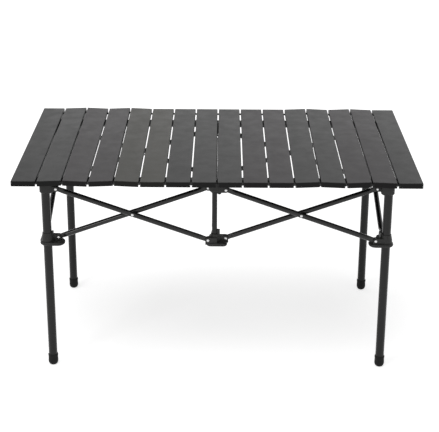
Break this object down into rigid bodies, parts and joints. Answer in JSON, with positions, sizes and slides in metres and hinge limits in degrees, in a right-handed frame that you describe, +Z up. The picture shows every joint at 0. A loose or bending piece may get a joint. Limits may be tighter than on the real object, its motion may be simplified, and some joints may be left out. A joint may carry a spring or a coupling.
{
  "type": "folding table",
  "caption": "Folding garden table: roll-up slatted top on rails over a crossed-brace scissor frame with straight tube legs, moulded hubs and rubber feet.",
  "frame": {"origin": "on the floor, under the middle of the top", "axes": "+Z up, +X along the table's length, the front is at -Y"},
  "size_m": [0.95, 0.55, 0.5124],
  "materials": {
    "slat_paint": "satin grey powder coat",
    "tube_paint": "semi-gloss powder coat",
    "brace_paint": "semi-gloss powder coat",
    "rail_paint": "semi-gloss powder coat",
    "hub_plastic": "satin moulded plastic",
    "foot_rubber": "matte",
    "ferrule_steel": "bare steel",
    "cord_elastic": "woven elastic"
  },
  "bodies": {
    "front_centre": {"front_centre_post": "tube_paint", "front_centre_upper_hub": "hub_plastic"},
    "back_centre": {"back_centre_post": "tube_paint", "back_centre_upper_hub": "hub_plastic"},
    "front_left_brace_low": {"front_left_brace_low": "brace_paint"},
    "front_left_brace_high": {"front_left_brace_high": "brace_paint"},
    "front_left_leg": {"front_left_leg": "tube_paint", "front_left_foot": "foot_rubber", "front_left_upper_hub": "hub_plastic"},
    "front_left_lower_hub": {"front_left_lower_hub": "hub_plastic"},
    "front_right_brace_low": {"front_right_brace_low": "brace_paint"},
    "front_right_brace_high": {"front_right_brace_high": "brace_paint"},
    "front_right_leg": {"front_right_leg": "tube_paint", "front_right_foot": "foot_rubber", "front_right_upper_hub": "hub_plastic"},
    "front_right_lower_hub": {"front_right_lower_hub": "hub_plastic"},
    "back_left_brace_low": {"back_left_brace_low": "brace_paint"},
    "back_left_brace_high": {"back_left_brace_high": "brace_paint"},
    "back_left_leg": {"back_left_leg": "tube_paint", "back_left_foot": "foot_rubber", "back_left_upper_hub": "hub_plastic"},
    "back_left_lower_hub": {"back_left_lower_hub": "hub_plastic"},
    "back_right_brace_low": {"back_right_brace_low": "brace_paint"},
    "back_right_brace_high": {"back_right_brace_high": "brace_paint"},
    "back_right_leg": {"back_right_leg": "tube_paint", "back_right_foot": "foot_rubber", "back_right_upper_hub": "hub_plastic"},
    "back_right_lower_hub": {"back_right_lower_hub": "hub_plastic"},
    "front_centre_lower_hub": {"front_centre_lower_hub": "hub_plastic"},
    "back_centre_lower_hub": {"back_centre_lower_hub": "hub_plastic"},
    "centre_side_brace_front_high": {"centre_side_brace_front_high": "brace_paint"},
    "centre_side_brace_back_high": {"centre_side_brace_back_high": "brace_paint"},
    "left_side_brace_front_high": {"left_side_brace_front_high": "brace_paint"},
    "left_side_brace_back_high": {"left_side_brace_back_high": "brace_paint"},
    "right_side_brace_front_high": {"right_side_brace_front_high": "brace_paint"},
    "right_side_brace_back_high": {"right_side_brace_back_high": "brace_paint"},
    "front_rail": {"front_rail_left": "rail_paint", "front_rail_right": "rail_paint", "front_rail_ferrule": "ferrule_steel"},
    "back_rail": {"back_rail_left": "rail_paint", "back_rail_right": "rail_paint", "back_rail_ferrule": "ferrule_steel"},
    "slat_09": {"slat_09": "slat_paint", "front_elastic_cord": "cord_elastic", "back_elastic_cord": "cord_elastic"},
    "slat_08": {"slat_08": "slat_paint"},
    "slat_07": {"slat_07": "slat_paint"},
    "slat_06": {"slat_06": "slat_paint"},
    "slat_05": {"slat_05": "slat_paint"},
    "slat_04": {"slat_04": "slat_paint"},
    "slat_03": {"slat_03": "slat_paint"},
    "slat_02": {"slat_02": "slat_paint"},
    "slat_01": {"slat_01": "slat_paint"},
    "slat_10": {"slat_10": "slat_paint"},
    "slat_11": {"slat_11": "slat_paint"},
    "slat_12": {"slat_12": "slat_paint"},
    "slat_13": {"slat_13": "slat_paint"},
    "slat_14": {"slat_14": "slat_paint"},
    "slat_15": {"slat_15": "slat_paint"},
    "slat_16": {"slat_16": "slat_paint"}
  },
  "joints": [
    {"name": "frame_fold", "type": "hinge", "parent": "front_centre", "child": "front_left_brace_low", "pos_m": [-0.021, -0.214, 0.471], "axis": [0, -1, 0], "range_deg": [0, 65]},
    {"name": "front_left_brace_crossing", "type": "hinge", "parent": "front_left_brace_low", "child": "front_left_brace_high", "pos_m": [-0.2, -0.214, 0.4065], "axis": [0, 1, 0], "range_deg": [0, 130.05]},
    {"name": "front_left_leg_pivot", "type": "hinge", "parent": "front_left_brace_high", "child": "front_left_leg", "pos_m": [-0.379, -0.214, 0.471], "axis": [0, -1, 0], "range_deg": [0, 65.05]},
    {"name": "front_left_lower_hub_pivot", "type": "hinge", "parent": "front_left_brace_low", "child": "front_left_lower_hub", "pos_m": [-0.379, -0.214, 0.342], "axis": [0, 1, 0], "range_deg": [0, 65.05]},
    {"name": "front_right_low_brace_pivot", "type": "hinge", "parent": "front_centre", "child": "front_right_brace_low", "pos_m": [0.021, -0.214, 0.471], "axis": [0, 1, 0], "range_deg": [0, 65.05]},
    {"name": "front_right_brace_crossing", "type": "hinge", "parent": "front_right_brace_low", "child": "front_right_brace_high", "pos_m": [0.2, -0.214, 0.4065], "axis": [0, -1, 0], "range_deg": [0, 130.05]},
    {"name": "front_right_leg_pivot", "type": "hinge", "parent": "front_right_brace_high", "child": "front_right_leg", "pos_m": [0.379, -0.214, 0.471], "axis": [0, 1, 0], "range_deg": [0, 65.05]},
    {"name": "front_right_lower_hub_pivot", "type": "hinge", "parent": "front_right_brace_low", "child": "front_right_lower_hub", "pos_m": [0.379, -0.214, 0.342], "axis": [0, -1, 0], "range_deg": [0, 65.05]},
    {"name": "back_left_low_brace_pivot", "type": "hinge", "parent": "back_centre", "child": "back_left_brace_low", "pos_m": [-0.021, 0.214, 0.471], "axis": [0, -1, 0], "range_deg": [0, 65.05]},
    {"name": "back_left_brace_crossing", "type": "hinge", "parent": "back_left_brace_low", "child": "back_left_brace_high", "pos_m": [-0.2, 0.214, 0.4065], "axis": [0, 1, 0], "range_deg": [0, 130.05]},
    {"name": "back_left_leg_pivot", "type": "hinge", "parent": "back_left_brace_high", "child": "back_left_leg", "pos_m": [-0.379, 0.214, 0.471], "axis": [0, -1, 0], "range_deg": [0, 65.05]},
    {"name": "back_left_lower_hub_pivot", "type": "hinge", "parent": "back_left_brace_low", "child": "back_left_lower_hub", "pos_m": [-0.379, 0.214, 0.342], "axis": [0, 1, 0], "range_deg": [0, 65.05]},
    {"name": "back_right_low_brace_pivot", "type": "hinge", "parent": "back_centre", "child": "back_right_brace_low", "pos_m": [0.021, 0.214, 0.471], "axis": [0, 1, 0], "range_deg": [0, 65.05]},
    {"name": "back_right_brace_crossing", "type": "hinge", "parent": "back_right_brace_low", "child": "back_right_brace_high", "pos_m": [0.2, 0.214, 0.4065], "axis": [0, -1, 0], "range_deg": [0, 130.05]},
    {"name": "back_right_leg_pivot", "type": "hinge", "parent": "back_right_brace_high", "child": "back_right_leg", "pos_m": [0.379, 0.214, 0.471], "axis": [0, 1, 0], "range_deg": [0, 65.05]},
    {"name": "back_right_lower_hub_pivot", "type": "hinge", "parent": "back_right_brace_low", "child": "back_right_lower_hub", "pos_m": [0.379, 0.214, 0.342], "axis": [0, -1, 0], "range_deg": [0, 65.05]},
    {"name": "front_centre_lower_hub_pivot", "type": "hinge", "parent": "front_left_brace_high", "child": "front_centre_lower_hub", "pos_m": [-0.021, -0.214, 0.342], "axis": [0, -1, 0], "range_deg": [0, 65.05]},
    {"name": "centre_side_brace_pivot", "type": "hinge", "parent": "front_centre", "child": "centre_side_brace_front_high", "pos_m": [0, -0.179, 0.471], "axis": [-1, 0, 0], "range_deg": [0, 65.05]},
    {"name": "centre_side_brace_crossing", "type": "hinge", "parent": "centre_side_brace_front_high", "child": "centre_side_brace_back_high", "pos_m": [0, 0, 0.4065], "axis": [1, 0, 0], "range_deg": [0, 130.05]},
    {"name": "left_side_brace_pivot", "type": "hinge", "parent": "front_left_leg", "child": "left_side_brace_front_high", "pos_m": [-0.405, -0.179, 0.471], "axis": [-1, 0, 0], "range_deg": [0, 65.05]},
    {"name": "left_side_brace_crossing", "type": "hinge", "parent": "left_side_brace_front_high", "child": "left_side_brace_back_high", "pos_m": [-0.405, 0, 0.4065], "axis": [1, 0, 0], "range_deg": [0, 130.05]},
    {"name": "right_side_brace_pivot", "type": "hinge", "parent": "front_right_leg", "child": "right_side_brace_front_high", "pos_m": [0.405, -0.179, 0.471], "axis": [-1, 0, 0], "range_deg": [0, 65.05]},
    {"name": "right_side_brace_crossing", "type": "hinge", "parent": "right_side_brace_front_high", "child": "right_side_brace_back_high", "pos_m": [0.405, 0, 0.4065], "axis": [1, 0, 0], "range_deg": [0, 130.05]},
    {"name": "back_centre_pivot", "type": "hinge", "parent": "centre_side_brace_back_high", "child": "back_centre", "pos_m": [0, 0.179, 0.471], "axis": [-1, 0, 0], "range_deg": [0, 65.05]},
    {"name": "back_centre_lower_hub_pivot", "type": "hinge", "parent": "centre_side_brace_front_high", "child": "back_centre_lower_hub", "pos_m": [0, 0.179, 0.342], "axis": [1, 0, 0], "range_deg": [0, 65.05]},
    {"name": "top_lift", "type": "slide", "parent": "front_centre", "child": "slat_09", "axis": [0, 0, 1], "range_m": [0, 0.1]},
    {"name": "front_rail_lift", "type": "slide", "parent": "front_centre", "child": "front_rail", "axis": [0, 0, 1], "range_m": [0, 0.0505]},
    {"name": "back_rail_lift", "type": "slide", "parent": "back_centre", "child": "back_rail", "axis": [0, 0, 1], "range_m": [0, 0.0505]},
    {"name": "top_roll", "type": "hinge", "parent": "slat_09", "child": "slat_08", "pos_m": [0, 0, 0.51], "axis": [0, 1, 0], "range_deg": [0, 32], "deforming": ["front_elastic_cord", "back_elastic_cord"]},
    {"name": "slat_07_roll", "type": "hinge", "parent": "slat_08", "child": "slat_07", "pos_m": [-0.05959, 0, 0.51], "axis": [0, 1, 0], "range_deg": [0, 33.73]},
    {"name": "slat_06_roll", "type": "hinge", "parent": "slat_07", "child": "slat_06", "pos_m": [-0.11918, 0, 0.51], "axis": [0, 1, 0], "range_deg": [0, 35.51]},
    {"name": "slat_05_roll", "type": "hinge", "parent": "slat_06", "child": "slat_05", "pos_m": [-0.17876, 0, 0.51], "axis": [0, 1, 0], "range_deg": [0, 37.37]},
    {"name": "slat_04_roll", "type": "hinge", "parent": "slat_05", "child": "slat_04", "pos_m": [-0.23835, 0, 0.5125], "axis": [0, 1, 0], "range_deg": [0, 39.34]},
    {"name": "slat_03_roll", "type": "hinge", "parent": "slat_04", "child": "slat_03", "pos_m": [-0.29794, 0, 0.51], "axis": [0, 1, 0], "range_deg": [0, 41.41]},
    {"name": "slat_02_roll", "type": "hinge", "parent": "slat_03", "child": "slat_02", "pos_m": [-0.35752, 0, 0.5125], "axis": [0, 1, 0], "range_deg": [0, 43.58]},
    {"name": "slat_01_roll", "type": "hinge", "parent": "slat_02", "child": "slat_01", "pos_m": [-0.41711, 0, 0.51], "axis": [0, 1, 0], "range_deg": [0, 45.87]},
    {"name": "slat_10_roll", "type": "hinge", "parent": "slat_09", "child": "slat_10", "pos_m": [0.05959, 0, 0.51], "axis": [0, -1, 0], "range_deg": [0, 30.45]},
    {"name": "slat_11_roll", "type": "hinge", "parent": "slat_10", "child": "slat_11", "pos_m": [0.11918, 0, 0.51], "axis": [0, -1, 0], "range_deg": [0, 28.93]},
    {"name": "slat_12_roll", "type": "hinge", "parent": "slat_11", "child": "slat_12", "pos_m": [0.17876, 0, 0.51], "axis": [0, -1, 0], "range_deg": [0, 27.49]},
    {"name": "slat_13_roll", "type": "hinge", "parent": "slat_12", "child": "slat_13", "pos_m": [0.23835, 0, 0.5125], "axis": [0, -1, 0], "range_deg": [0, 26.11]},
    {"name": "slat_14_roll", "type": "hinge", "parent": "slat_13", "child": "slat_14", "pos_m": [0.29794, 0, 0.51], "axis": [0, -1, 0], "range_deg": [0, 24.81]},
    {"name": "slat_15_roll", "type": "hinge", "parent": "slat_14", "child": "slat_15", "pos_m": [0.35752, 0, 0.5125], "axis": [0, -1, 0], "range_deg": [0, 23.57]},
    {"name": "slat_16_roll", "type": "hinge", "parent": "slat_15", "child": "slat_16", "pos_m": [0.41711, 0, 0.51], "axis": [0, -1, 0], "range_deg": [0, 22.4]}
  ],
  "couplings": [
    {"joint": "front_left_brace_crossing", "follows": "frame_fold", "ratio": 2},
    {"joint": "front_left_leg_pivot", "follows": "frame_fold", "ratio": 1},
    {"joint": "front_left_lower_hub_pivot", "follows": "frame_fold", "ratio": 1},
    {"joint": "front_right_low_brace_pivot", "follows": "frame_fold", "ratio": 1},
    {"joint": "front_right_brace_crossing", "follows": "frame_fold", "ratio": 2},
    {"joint": "front_right_leg_pivot", "follows": "frame_fold", "ratio": 1},
    {"joint": "front_right_lower_hub_pivot", "follows": "frame_fold", "ratio": 1},
    {"joint": "back_left_low_brace_pivot", "follows": "frame_fold", "ratio": 1},
    {"joint": "back_left_brace_crossing", "follows": "frame_fold", "ratio": 2},
    {"joint": "back_left_leg_pivot", "follows": "frame_fold", "ratio": 1},
    {"joint": "back_left_lower_hub_pivot", "follows": "frame_fold", "ratio": 1},
    {"joint": "back_right_low_brace_pivot", "follows": "frame_fold", "ratio": 1},
    {"joint": "back_right_brace_crossing", "follows": "frame_fold", "ratio": 2},
    {"joint": "back_right_leg_pivot", "follows": "frame_fold", "ratio": 1},
    {"joint": "back_right_lower_hub_pivot", "follows": "frame_fold", "ratio": 1},
    {"joint": "front_centre_lower_hub_pivot", "follows": "frame_fold", "ratio": 1},
    {"joint": "centre_side_brace_pivot", "follows": "frame_fold", "ratio": 1},
    {"joint": "centre_side_brace_crossing", "follows": "frame_fold", "ratio": 2},
    {"joint": "left_side_brace_pivot", "follows": "frame_fold", "ratio": 1},
    {"joint": "left_side_brace_crossing", "follows": "frame_fold", "ratio": 2},
    {"joint": "right_side_brace_pivot", "follows": "frame_fold", "ratio": 1},
    {"joint": "right_side_brace_crossing", "follows": "frame_fold", "ratio": 2},
    {"joint": "back_centre_pivot", "follows": "frame_fold", "ratio": 1},
    {"joint": "back_centre_lower_hub_pivot", "follows": "frame_fold", "ratio": 1},
    {"joint": "front_rail_lift", "follows": "top_lift", "ratio": 0.5},
    {"joint": "back_rail_lift", "follows": "top_lift", "ratio": 0.5},
    {"joint": "slat_07_roll", "follows": "top_roll", "ratio": 1.0526},
    {"joint": "slat_06_roll", "follows": "top_roll", "ratio": 1.108},
    {"joint": "slat_05_roll", "follows": "top_roll", "ratio": 1.1664},
    {"joint": "slat_04_roll", "follows": "top_roll", "ratio": 1.2277},
    {"joint": "slat_03_roll", "follows": "top_roll", "ratio": 1.2924},
    {"joint": "slat_02_roll", "follows": "top_roll", "ratio": 1.3604},
    {"joint": "slat_01_roll", "follows": "top_roll", "ratio": 1.432},
    {"joint": "slat_10_roll", "follows": "top_roll", "ratio": 0.95},
    {"joint": "slat_11_roll", "follows": "top_roll", "ratio": 0.9025},
    {"joint": "slat_12_roll", "follows": "top_roll", "ratio": 0.85737},
    {"joint": "slat_13_roll", "follows": "top_roll", "ratio": 0.81451},
    {"joint": "slat_14_roll", "follows": "top_roll", "ratio": 0.77378},
    {"joint": "slat_15_roll", "follows": "top_roll", "ratio": 0.73509},
    {"joint": "slat_16_roll", "follows": "top_roll", "ratio": 0.69834}
  ]
}
